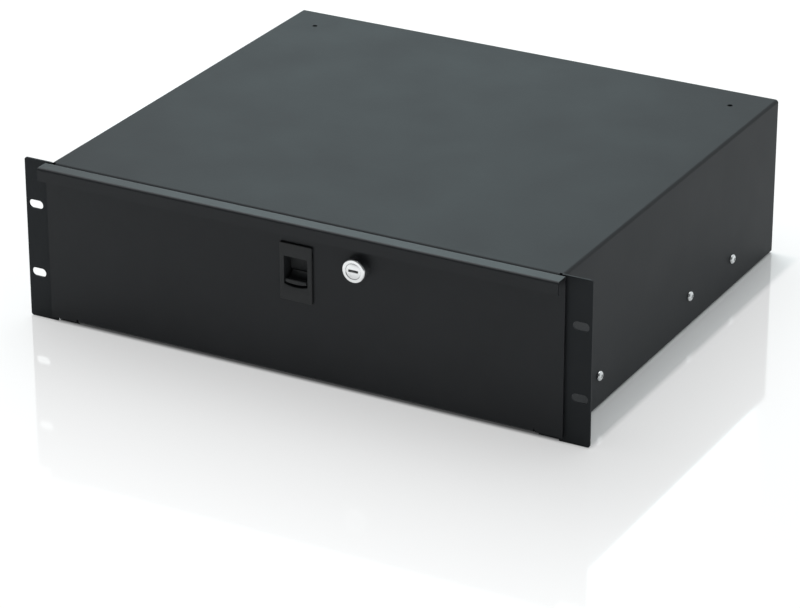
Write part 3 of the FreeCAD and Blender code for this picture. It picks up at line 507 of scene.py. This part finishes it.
def dome(seat, rim, high, shares):
    # stations of a screw's head from (share of its height, how far inside its rim) pairs
    return [(seat + high * share, rim - inside) for share, inside in shares]


# every screw's point is chamfered this much
point = 0.4
# pan head, alike on the slides' screws and the cam's
panHead = {
    "foot": ((0, -0.1), (0.15, 0)),
    "dome": ((0.35, 0.05), (0.6, 0.35), (0.8, 0.85), (0.93, 1.5), (1, 2.5)),
    "cross": {"long": 4.4, "wide": 1.0, "deep": 1.5, "taper": 0.45},
}

# screws of the fixed slide members: domed pan heads outside the housing's sides
panScrew = {
    "seat": 218.0, "tip": 215.3, "width": 4.0, "head": 8.0, "high": 2.6,
    "places": (61.0, 221.0, 301.0), "level": -40.0, "groove": ((-1.6, 0), (-1.3, -0.25), (-1.0, 0)),
}
tip, seat, high, level = panScrew["tip"], panScrew["seat"], panScrew["high"], panScrew["level"]
core, rim = panScrew["width"] / 2, panScrew["head"] / 2
screw = turnPiece(
    "slideScrewsRight", "x", (0, 0, level),
    [(tip, core - point), (tip + point, core)] + profile(seat, core, panScrew["groove"]) + [(seat, core)]
    + profile(seat, rim, panHead["foot"]) + dome(seat, rim, high, panHead["dome"]))
crossRecess(screw, (seat + high, 0, level), "x", 1, panHead["cross"])
repeatPiece(screw, [(0, y, 0) for y in panScrew["places"]])
finishPiece(mirrorPiece(screw, "slideScrewsLeft"), "slide_screws_left")
finishPiece(screw, "slide_screws_right")

# screws of the drawer's members: low heads inside the tray
lowScrew = {
    "seat": 202.6, "tip": 205.0, "width": 4.0, "head": 7.0, "high": 1.4,
    "places": (61.0, 221.0, 341.0), "level": -40.0,
    "dome": ((1, 1.6), (0.85, 0.8), (0.55, 0.25), (0.2, 0), (0, 0)),
    "cross": {"long": 3.8, "wide": 0.9, "deep": 1.0, "taper": 0.5},
}
tip, seat, high, level = lowScrew["tip"], lowScrew["seat"], lowScrew["high"], lowScrew["level"]
core, rim = lowScrew["width"] / 2, lowScrew["head"] / 2
screw = turnPiece(
    "slideInnerScrewsRight", "x", (0, 0, level),
    dome(seat, rim, -high, lowScrew["dome"]) + [(seat, core), (tip - point, core), (tip, core - point)])
crossRecess(screw, (seat - high, 0, level), "x", -1, lowScrew["cross"])
repeatPiece(screw, [(0, y, 0) for y in lowScrew["places"]])
finishPiece(mirrorPiece(screw, "slideInnerScrewsLeft"), "slide_inner_screws_left")
finishPiece(screw, "slide_inner_screws_right")
print("slide screws made")

# pop rivets through the tray's sides into the back: domed heads outside, squeezed tails inside
popRivet = {
    "place": (367.8, -6.0), "pitch": 38.0, "tail": 200.3, "sheet": 203.8, "head": 204.9, "sides": 32,
    "squeezed": ((0, 0.9), (0.15, 1.7), (0.45, 2.3), (0.8, 2.5), (1.05, 2.45), (1.1, 1.6)),
    "domed": ((0, 1.6), (0, 3.1), (0.15, 3.2), (0.4, 3.05), (0.75, 2.5)),
    "pin": ((-0.1, 1.7), (0, 1.1), (-0.15, 1.0), (-0.6, 0.9), (-0.5, 0.3)),
}
y, z = popRivet["place"]
rivet = turnPiece(
    "backRivets", "x", (0, y, z),
    profile(popRivet["tail"], 0, popRivet["squeezed"]) + profile(popRivet["sheet"], 0, popRivet["domed"])
    + profile(popRivet["head"], 0, popRivet["pin"]), sides=popRivet["sides"])
repeatPiece(rivet, [(0, 0, 0), (0, 0, popRivet["pitch"])])
joinPieces(rivet, [mirrorPiece(rivet, "backRivetsLeft")])
finishPiece(rivet, "back_rivets")


# nuts: the flat of the face as a share of the nut, the chamfer's slope and how far its cutter clears the
# corners, and the mouth of the bore
nutLook = {"flat": 0.95, "slope": 0.5, "clear": 0.2, "sides": 64, "mouth": {
    "over": 0.1, "deep": 0.3, "wider": 0.4, "sides": 48}}


def hexNut(name, centre, look):
    # a hexagon chamfered on both faces, its bore countersunk
    half = look["across"] / 2
    corner = half / math.cos(math.pi / 6)
    start, end = look["start"], look["end"]
    flat = half * nutLook["flat"]
    bite = (corner - flat) * nutLook["slope"]
    outside = corner + nutLook["clear"]
    place = Vector((centre[0], 0, centre[1]))
    nut = turnPiece(name, "y", place, [(start, corner), (end, corner)], sides=6)
    nut.matrix_world = Matrix.Translation(place * mm) @ Matrix.Rotation(
        math.radians(look["turn"]), 4, "Y") @ Matrix.Translation(-place * mm)
    applyPlace(nut)
    combine(nut, turnPiece("chamfer", "y", place, [
        (start, flat), (start + bite, outside), (end - bite, outside), (end, flat)],
        sides=nutLook["sides"]), "INTERSECT")
    mouth = nutLook["mouth"]
    over, deep, bore = mouth["over"], mouth["deep"], look["bore"] / 2
    wide = bore + mouth["wider"]
    combine(nut, turnPiece("mouth", "y", place, [
        (start - over, wide), (start + deep, bore), (end - deep, bore), (end + over, wide)],
        sides=mouth["sides"]))
    return nut


# four on the studs that hold the drawer's front to its tray
frontNut = {
    "across": 7.0, "bore": 4.1, "start": -1.3, "end": 1.9, "turn": 30, "x": 150.0, "levels": (-45.0, 32.0),
}
nut = hexNut("frontNuts", (0, 0), frontNut)
repeatPiece(nut, [(x, 0, z) for x in (-frontNut["x"], frontNut["x"]) for z in frontNut["levels"]])
finishPiece(nut, "front_nuts")

# one on the lock's barrel, which stands at this place across and up
lockCentre = (52.0, 37.0)
lockNut = {"across": 22.0, "bore": 18.1, "start": -1.3, "end": 2.2, "turn": 30}
finishPiece(hexNut("lockNut", lockCentre, lockNut), "lock_nut")
print("rivets and nuts made")

# cam lock: a chromed head with a rounded rim, a threaded barrel and a bore for the plug
camLock = {
    "front": -12.0, "face": -4.0, "end": 11.0, "head": 10.0, "barrel": 9.0, "bore": 6.3,
    "rimWide": 1.5, "rimDeep": 4.2, "rimSteps": 10, "lip": 0.25, "chamfer": 0.4, "sides": 72,
    "foot": ((-0.25, 0), (0, -0.2)), "neck": 1.6, "pitch": 1.5, "depth": 0.5, "valley": (0.45, 0.55),
}


def quarterRound(front, radius, deep, wide, steps):
    # stations of a rounded rim, from its front to its full radius
    stations = []
    for step in range(steps + 1):
        angle = math.pi / 2 * step / steps
        stations.append((front + deep * (1 - math.cos(angle)), radius - wide * (1 - math.sin(angle))))
    return stations


x, z = lockCentre
front, face, end = camLock["front"], camLock["face"], camLock["end"]
head, barrel, bore = camLock["head"], camLock["barrel"], camLock["bore"]
pitch, lip, chamfer = camLock["pitch"], camLock["lip"], camLock["chamfer"]
stations = [(front + lip, bore), (front, bore + lip)]
stations += quarterRound(front, head, camLock["rimDeep"], camLock["rimWide"], camLock["rimSteps"])
stations += profile(face, head, camLock["foot"]) + [(face, barrel)]
place = face + camLock["neck"]
while place + pitch < end - chamfer:
    stations.append((place, barrel))
    stations += [(place + pitch * share, barrel - camLock["depth"]) for share in camLock["valley"]]
    place += pitch
stations += [(place, barrel), (end - chamfer, barrel), (end, barrel - chamfer)]
stations += [(end, bore), (front + lip, bore)]
finishPiece(turnPiece("lockBody", "y", (x, 0, z), stations, sides=camLock["sides"], bored=True), "lock_body")

# plug: keyway in front, square tail behind
plugLook = {
    "front": -11.7, "end": 11.0, "radius": 6.25, "edge": ((0, -0.3), (0.1, -0.1), (0.3, 0)), "sides": 64,
    "tail": {"wide": 6.0, "start": 9.0, "end": 13.2, "round": 0.4},
    "keyway": {"wide": 8.2, "high": 1.8, "deep": 7.0, "over": 1.0, "round": 0.7, "chamfer": 0.35},
    "screwHole": {"radius": 2.05, "start": 6.1, "end": 14.0, "sides": 32},
}
front, radius = plugLook["front"], plugLook["radius"]
plug = turnPiece(
    "lockPlug", "y", (x, 0, z), profile(front, radius, plugLook["edge"]) + [(plugLook["end"], radius)],
    sides=plugLook["sides"])
tailLook = plugLook["tail"]
half = tailLook["wide"] / 2
tail = block("tail", (x - half, tailLook["start"], z - half), (x + half, tailLook["end"], z + half))
soften(tail, tailLook["round"])
combine(plug, tail, "UNION")
keyLook = plugLook["keyway"]
wide, high, chamfer = keyLook["wide"] / 2, keyLook["high"] / 2, keyLook["chamfer"]
keyway = block(
    "keyway", (x - wide, front - keyLook["over"], z - high), (x + wide, front + keyLook["deep"], z + high))
soften(keyway, keyLook["round"], segments=3)
combine(plug, keyway)
# the keyway's mouth is chamfered all round
mouth = block("mouth", (x - wide - chamfer, front - chamfer, z - high - chamfer),
              (x + wide + chamfer, front + chamfer, z + high + chamfer))
resizeFaces(mouth, lambda middle, normal: normal.y > facing,
            (wide / (wide + chamfer), 1, high / (high + chamfer)), (x, 0, z))
combine(plug, mouth)
hole = plugLook["screwHole"]
combine(plug, turnPiece(
    "screwHole", "y", (x, 0, z), [(hole["start"], hole["radius"]), (hole["end"], hole["radius"])],
    sides=hole["sides"]))
finishPiece(plug, "lock_plug")

# screw that holds the cam: a pan head and a shank with rings for its thread
camScrew = {
    "seat": 13.3, "high": 2.6, "head": 8.0, "width": 4.0, "tip": 6.3,
    "rings": 5, "first": 0.6, "pitch": 1.2, "ring": ((0, 0), (0.4, -0.3), (0.8, 0)),
}
tip, seat, high = camScrew["tip"], camScrew["seat"], camScrew["high"]
core, rim = camScrew["width"] / 2, camScrew["head"] / 2
stations = [(tip, core - point), (tip + point, core)]
for ring in range(camScrew["rings"]):
    stations += profile(tip + camScrew["first"] + ring * camScrew["pitch"], core, camScrew["ring"])
stations += [(seat, core)] + profile(seat, rim, panHead["foot"]) + dome(seat, rim, high, panHead["dome"])
screw = turnPiece("lockCamScrew", "y", (x, 0, z), stations)
crossRecess(screw, (x, seat + high, z), "y", 1, panHead["cross"])
finishPiece(screw, "lock_cam_screw")

# pressed and moulded pieces are rounded at edges past this angle, in degrees
edgeAngle = 50
# cam, pressed from strip
camEdge = 0.3
cam = looseCopy("lock_cam", "lockCam")
soften(cam, camEdge, angle=edgeAngle)
finishPiece(cam, "lock_cam")
print("lock made")

# finger latch: moulded edges softened, and a scoop that sweeps up from the tab in front of its arm's slot
latchLook = {
    "housing": 0.3, "slider": 0.3,
    "scoop": {"side": 8.6, "low": 15.4, "top": 20.4, "back": 4.2, "wall": 0.8, "radius": 4.9, "cutter": 12.0,
              "sides": 64},
}
latch = looseCopy("latch_housing", "latchHousing")
soften(latch, latchLook["housing"], angle=edgeAngle)
finishPiece(latch, "latch_housing")
slider = looseCopy("latch_slider", "latchSlider")
scoop = latchLook["scoop"]
side, top, radius, cutter = scoop["side"], scoop["top"], scoop["radius"], scoop["cutter"]
front = scoop["back"] - scoop["wall"] - radius
rise = block("tabScoop", (-side, front, scoop["low"]), (side, scoop["back"], top))
combine(rise, turnPiece(
    "scoopCut", "x", (0, front, top), [(-cutter, radius), (cutter, radius)], sides=scoop["sides"]))
combine(slider, rise, "UNION")
soften(slider, latchLook["slider"], angle=edgeAngle)
finishPiece(slider, "latch_slider")

# spring under the slider: round wire, stretched between the chamber's floor and the slider
springLook = {
    "centre": (0.0, 13.75), "low": 3.26, "high": 9.74, "width": 4.0, "wire": 0.5, "turns": 4, "steps": 20,
    "sides": 10, "smooth": 50,
}
x, y = springLook["centre"]
low, high, wire = springLook["low"], springLook["high"], springLook["wire"] / 2
rise = (high - low - 2 * wire) / springLook["turns"]
bpy.ops.object.select_all(action="DESELECT")
bpy.ops.mesh.primitive_circle_add(
    vertices=springLook["sides"], radius=wire * mm, fill_type="NOTHING", rotation=(math.pi / 2, 0, 0),
    location=((springLook["width"] / 2 - wire) * mm, 0, 0))
spring = bpy.context.object
spring.name = "latchSpring"
applyPlace(spring)
coil = spring.modifiers.new("coil", "SCREW")
coil.axis = "Z"
coil.screw_offset = rise * mm
coil.iterations = springLook["turns"]
coil.steps = springLook["steps"]
coil.render_steps = springLook["steps"]
coil.use_smooth_shade = True
bpy.ops.object.modifier_apply(modifier=coil.name)
editAll()
bpy.ops.mesh.fill_holes(sides=0)
bpy.ops.object.mode_set(mode="OBJECT")
spring.location = Vector((x, y, low + wire)) * mm
applyPlace(spring)
tidyMesh(spring)
bpy.ops.object.shade_smooth_by_angle(angle=math.radians(springLook["smooth"]))
spring.data.materials.append(finishes["spring_steel"])
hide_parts("latch_spring")
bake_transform(spring)
print("latch made")

# rubber bumpers on the rear panel: soft rounded buttons
bumperLook = {
    "x": 150.0, "z": -12.0, "front": 377.3, "back": 381.5, "radius": 6.0,
    "round": 1.2, "steps": 5, "ring": 1.5,
}
front, radius, edge = bumperLook["front"], bumperLook["radius"], bumperLook["round"]
stations = [(front, radius - edge - bumperLook["ring"])]
stations += quarterRound(front, radius, edge, edge, bumperLook["steps"])
stations.append((bumperLook["back"], radius))
bumper = turnPiece("rearBumpers", "y", (0, 0, bumperLook["z"]), stations)
repeatPiece(bumper, [(side * bumperLook["x"], 0, 0) for side in (-1, 1)])
finishPiece(bumper, "rear_bumpers")

# ball cages: a folded strip with smooth balls held in its arms
cages = {
    "ball_cage_outer_right": {"name": "ballCageOuterRight", "web": 215.05, "row": 19.6, "ball": 3.2},
    "ball_cage_inner_right": {"name": "ballCageInnerRight", "web": 212.8, "row": 15.4, "ball": 2.8},
}
cageLook = {
    "arm": 5.2, "sheet": 0.5, "start": 119.0, "end": 283.0, "level": -40.0, "round": 0.12,
    "balls": 5, "rings": 12, "cap": 0.3, "sides": 20,
}
for node, cage in cages.items():
    row, web, ball, sheet = cage["row"], cage["web"], cage["ball"], cageLook["sheet"]
    level, start, end = cageLook["level"], cageLook["start"], cageLook["end"]
    inner = row - sheet / 2
    strip = block(
        cage["name"], (web - sheet, start, level - row - sheet / 2), (web, end, level + row + sheet / 2))
    # its two arms are drawn out of the web's edges
    for side in (-1, 1):
        editAll()
        bpy.ops.mesh.bisect(plane_co=(0, 0, (level + side * inner) * mm), plane_no=(0, 0, 1))
    pick(strip, lambda middle, normal: normal.x < -facing and abs(middle.z - level) > inner)
    bpy.ops.mesh.extrude_region_move(
        TRANSFORM_OT_translate={"value": ((sheet - cageLook["arm"]) * mm, 0, 0)})
    bpy.ops.object.mode_set(mode="OBJECT")
    tidyMesh(strip)
    soften(strip, cageLook["round"], angle=edgeAngle)
    radius, cap, rings = ball / 2, cageLook["cap"], cageLook["rings"]
    stations = []
    for step in range(rings + 1):
        angle = math.pi * (step + cap) / (rings + 2 * cap)
        stations.append((-radius * math.cos(angle), radius * math.sin(angle)))
    pitch = (end - start - 2 * ball) / (cageLook["balls"] - 1)
    balls = turnPiece("cageBalls", "x", (0, 0, 0), stations, sides=cageLook["sides"])
    repeatPiece(balls, [
        (web - cageLook["arm"] + radius + sheet / 2, start + ball + pitch * step, level + side * row)
        for side in (-1, 1) for step in range(cageLook["balls"])])
    joinPieces(strip, [balls])
    finishPiece(mirrorPiece(strip, cage["name"].replace("Right", "Left")), node.replace("right", "left"))
    finishPiece(strip, node)
print("bumpers and ball cages made")


# floor: gloss white acrylic sheet, cast and polished: its shine is strongest beside the drawer, and its glow
# drops near the housing's footprint, a painted shade at the drawer's foot (lengths in metres)
floor = {
    "size": 14, "gap": 0.0002, "white": "#ffffff", "roughness": 0.06,
    "shineNear": 0.215, "shineFar": 0.02, "fade": 0.30,
    "glow": 0.66, "paintedShadeGlow": 0.06, "paintedShadeReach": 0.0055, "inset": 0.0025, "mirrored": 0.25,
}
bpy.ops.object.select_all(action="DESELECT")
bpy.ops.mesh.primitive_plane_add(size=floor["size"], location=(0, 0, cadLow.z - floor["gap"]))
floorObject = bpy.context.object
floorObject.name = "floor"
floorMaterial, tree = newMaterial("glossAcrylicSheet")
standLow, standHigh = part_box("housing_shell")
middle = (standLow + standHigh) / 2
half = (standHigh - standLow) / 2 - Vector((floor["inset"], floor["inset"], 0))
# distance from the housing's footprint
place = addNode(tree, "ShaderNodeTexCoord").outputs["Object"]
away = addNode(tree, "ShaderNodeVectorMath", {
    "operation": "SUBTRACT", 1: (middle.x, middle.y, 0)}, {0: place})
away = addNode(tree, "ShaderNodeVectorMath", {"operation": "ABSOLUTE"}, {0: away.outputs[0]})
away = addNode(tree, "ShaderNodeVectorMath", {
    "operation": "SUBTRACT", 1: (half.x, half.y, 0)}, {0: away.outputs[0]})
away = addNode(tree, "ShaderNodeVectorMath", {"operation": "MAXIMUM", 1: (0, 0, 0)}, {0: away.outputs[0]})
away = addNode(tree, "ShaderNodeVectorMath", {"operation": "LENGTH"}, {0: away.outputs[0]})
shine = addNode(tree, "ShaderNodeMapRange", {
    "From Max": floor["fade"], "To Min": floor["shineNear"], "To Max": floor["shineFar"],
    "interpolation_type": "SMOOTHSTEP"}, {"Value": away.outputs["Value"]})
# the glow shows to the camera and, weaker, in reflections and through clear pieces, and lights nothing
rays = addNode(tree, "ShaderNodeLightPath")
mirrored = addNode(tree, "ShaderNodeMath", {"operation": "MAXIMUM"}, {
    0: rays.outputs["Is Glossy Ray"], 1: rays.outputs["Is Transmission Ray"]})
seen = addNode(tree, "ShaderNodeMath", {"operation": "MULTIPLY_ADD", 1: floor["mirrored"]}, {
    0: mirrored.outputs[0], 2: rays.outputs["Is Camera Ray"]})
# painted shade: within a few millimetres of the housing's footprint the glow falls to a few percent,
# darkening the floor at the drawer's foot
glowWithPaintedShade = addNode(tree, "ShaderNodeMapRange", {
    "From Max": floor["paintedShadeReach"], "To Min": floor["paintedShadeGlow"], "To Max": floor["glow"]},
    {"Value": away.outputs["Value"]})
glow = addNode(tree, "ShaderNodeMath", {"operation": "MULTIPLY"}, {
    0: seen.outputs[0], 1: glowWithPaintedShade.outputs["Result"]})
matt = addNode(tree, "ShaderNodeBsdfDiffuse", {"Color": hexColour(floor["white"])})
light = addNode(tree, "ShaderNodeEmission", {"Color": (1, 1, 1, 1), "Strength": 1.0})
sheet = addNode(tree, "ShaderNodeMixShader", {}, {
    "Fac": glow.outputs[0], 1: matt.outputs[0], 2: light.outputs[0]})
mirror = addNode(tree, "ShaderNodeBsdfGlossy", {"Color": (1, 1, 1, 1), "Roughness": floor["roughness"]})
shader = addNode(tree, "ShaderNodeMixShader", {}, {
    "Fac": shine.outputs["Result"], 1: sheet.outputs[0], 2: mirror.outputs[0]})
addNode(tree, "ShaderNodeOutputMaterial", {}, {"Surface": shader.outputs[0]})
floorObject.data.materials.append(floorMaterial)

# studio: a white wall behind the drawer, a dimmer room behind the camera, a large softbox overhead and a
# small one behind
studio = {"wall": "#f8feff", "dim": 0.2, "bright": 0.95, "from": -0.5, "to": 0.35, "background": 1.0}
world = bpy.data.worlds.new("studio")
bpy.context.scene.world = world
world.use_nodes = True
tree = world.node_tree
tree.nodes.clear()
direction = addNode(tree, "ShaderNodeTexCoord").outputs["Generated"]
split = addNode(tree, "ShaderNodeSeparateXYZ", {}, {"Vector": direction})
room = addNode(tree, "ShaderNodeMapRange", {
    "From Min": studio["from"], "From Max": studio["to"], "To Min": studio["dim"], "To Max": studio["bright"],
    "interpolation_type": "SMOOTHSTEP"}, {"Value": split.outputs["Y"]})
rays = addNode(tree, "ShaderNodeLightPath")
strength = addNode(tree, "ShaderNodeMix", {"data_type": "FLOAT", "B": studio["background"]}, {
    "Factor": rays.outputs["Is Camera Ray"], "A": room.outputs["Result"]})
tint = addNode(tree, "ShaderNodeMix", {
    "data_type": "RGBA", 6: hexColour(studio["wall"]), 7: (1, 1, 1, 1)}, {
    "Factor": rays.outputs["Is Camera Ray"]})
backdrop = addNode(tree, "ShaderNodeBackground", {}, {
    "Color": tint.outputs[2], "Strength": strength.outputs["Result"]})
addNode(tree, "ShaderNodeOutputWorld", {}, {"Surface": backdrop.outputs[0]})

aimAt = Vector((0, 0.15, 0))
softboxes = {
    "softboxOverhead": {"place": (-0.45, 0.3, 1.85), "size": 2.0, "power": 30, "colour": "#ffffff"},
    "softboxBack": {"place": (-0.62, 1.34, 0.64), "size": 0.8, "power": 2.6, "colour": "#d4faff"},
}
for name, box in softboxes.items():
    bpy.ops.object.light_add(type="AREA", location=box["place"])
    lamp = bpy.context.object
    lamp.name = name
    lamp.data.shape = "SQUARE"
    lamp.data.size = box["size"]
    lamp.data.energy = box["power"]
    lamp.data.color = hexColour(box["colour"])[:3]
    lamp.rotation_euler = (aimAt - Vector(box["place"])).to_track_quat("-Z", "Y").to_euler()

bpy.context.scene.view_settings.view_transform = "Standard"
print("floor and studio set")
